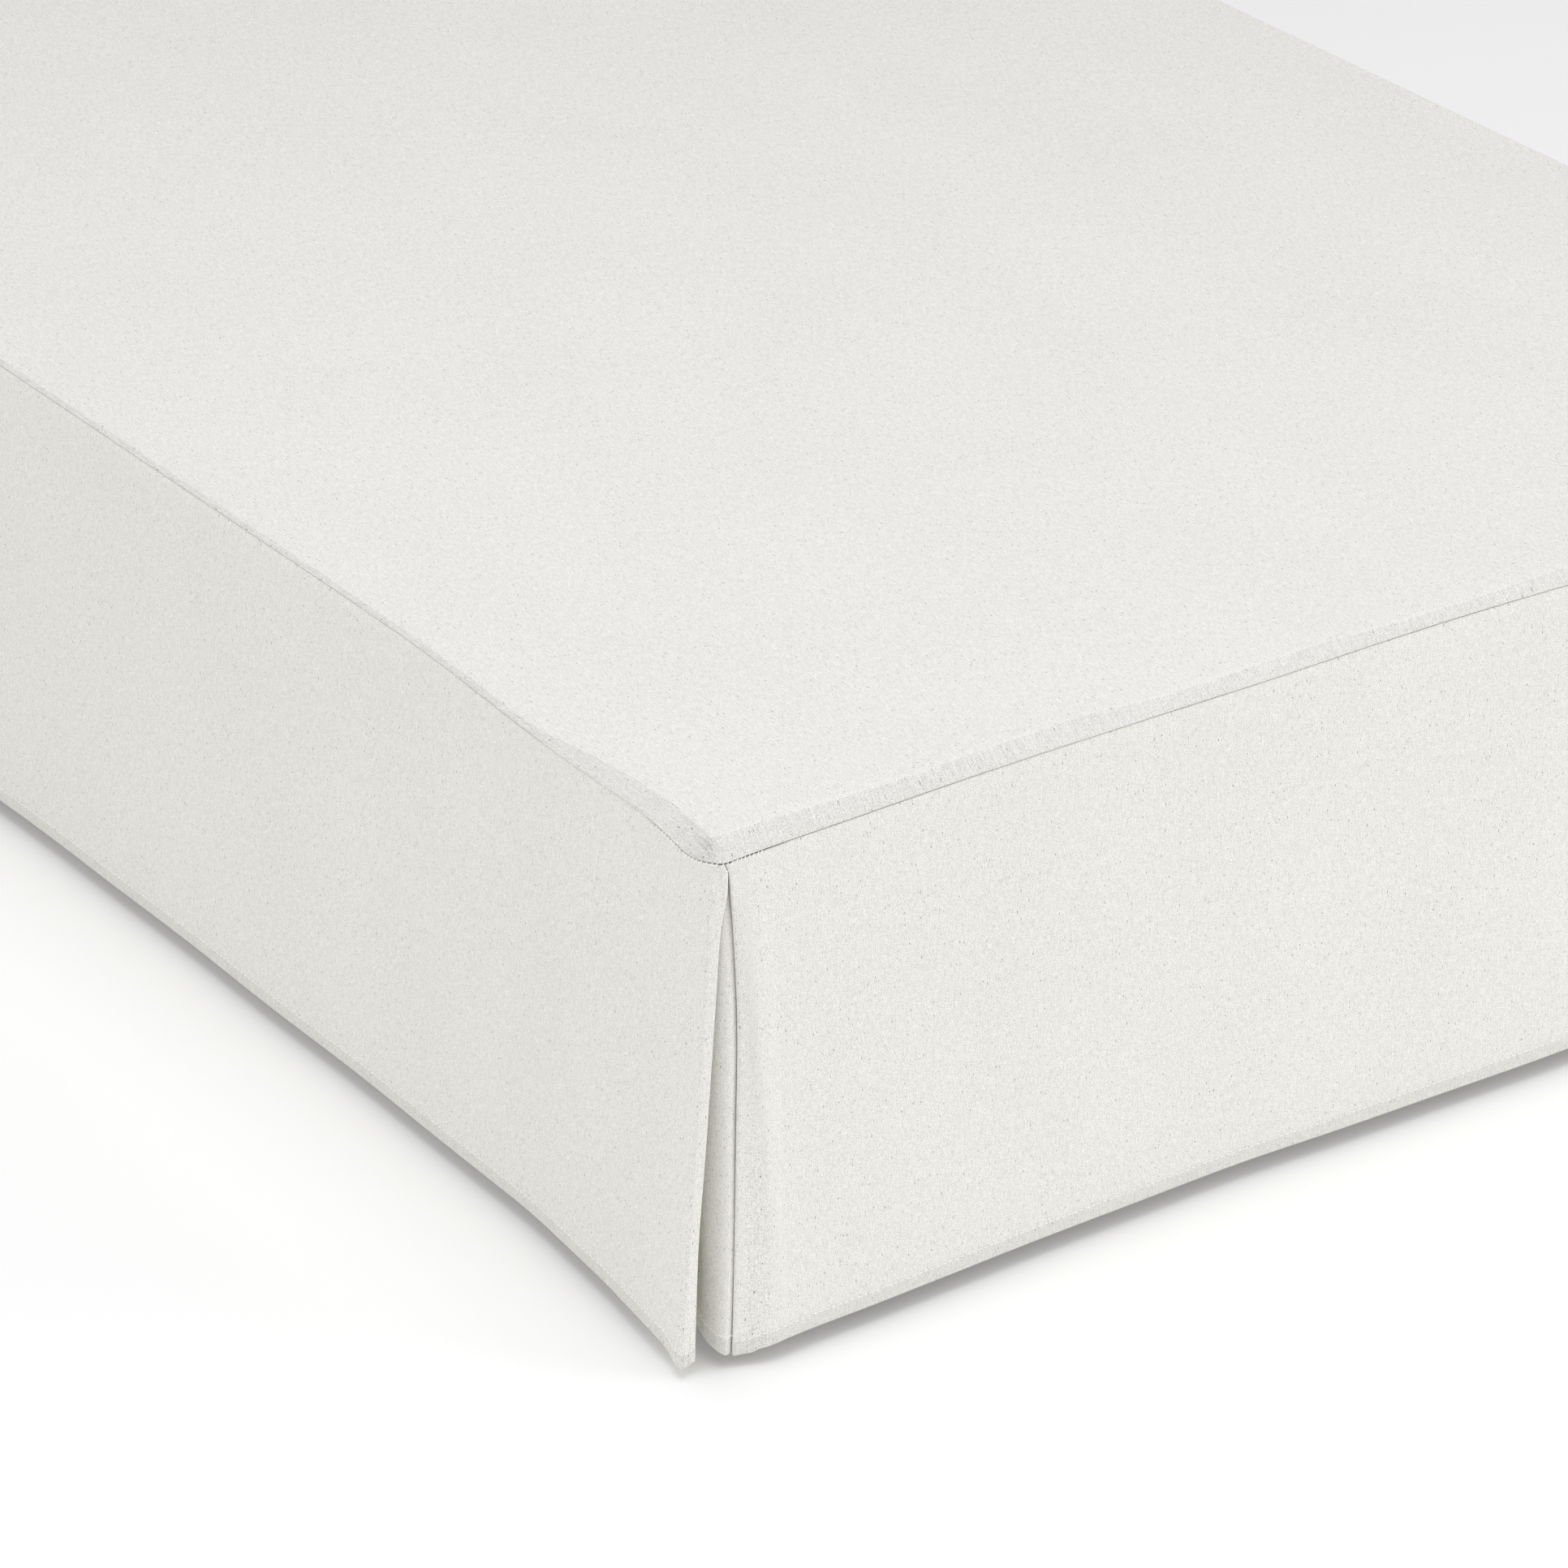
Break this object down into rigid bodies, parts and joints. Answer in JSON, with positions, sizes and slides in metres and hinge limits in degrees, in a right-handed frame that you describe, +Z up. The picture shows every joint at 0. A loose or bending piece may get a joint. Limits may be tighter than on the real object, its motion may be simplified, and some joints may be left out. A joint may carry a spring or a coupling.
{
  "type": "box spring cover on a box spring",
  "caption": "Plain off-white woven cover with a flat top panel, straight skirts almost to the floor and an inverted pleat at each corner, on a plain box spring with legs.",
  "frame": {"origin": "centre of the floor area that the cover and the box spring stand over, on the floor", "axes": "+Z up, +Y along the bed's length from its foot end to its head end, +X across its width"},
  "size_m": [0.9646, 2.0562, 0.29],
  "materials": {
    "cover_cloth": "matt plain-woven cotton, off-white with tiny grey-brown flecks",
    "ticking": "matt woven upholstery cloth",
    "leg_wood": "dark stained, satin"
  },
  "bodies": {
    "root": {"top_panel": "cover_cloth", "skirt_left": "cover_cloth", "skirt_right": "cover_cloth", "skirt_foot": "cover_cloth", "skirt_head": "cover_cloth", "pleat_foot_left": "cover_cloth", "pleat_foot_right": "cover_cloth", "pleat_head_left": "cover_cloth", "pleat_head_right": "cover_cloth", "box_spring": "ticking", "leg_foot_left": "leg_wood", "leg_foot_right": "leg_wood", "leg_head_left": "leg_wood", "leg_head_right": "leg_wood"}
  },
  "joints": []
}
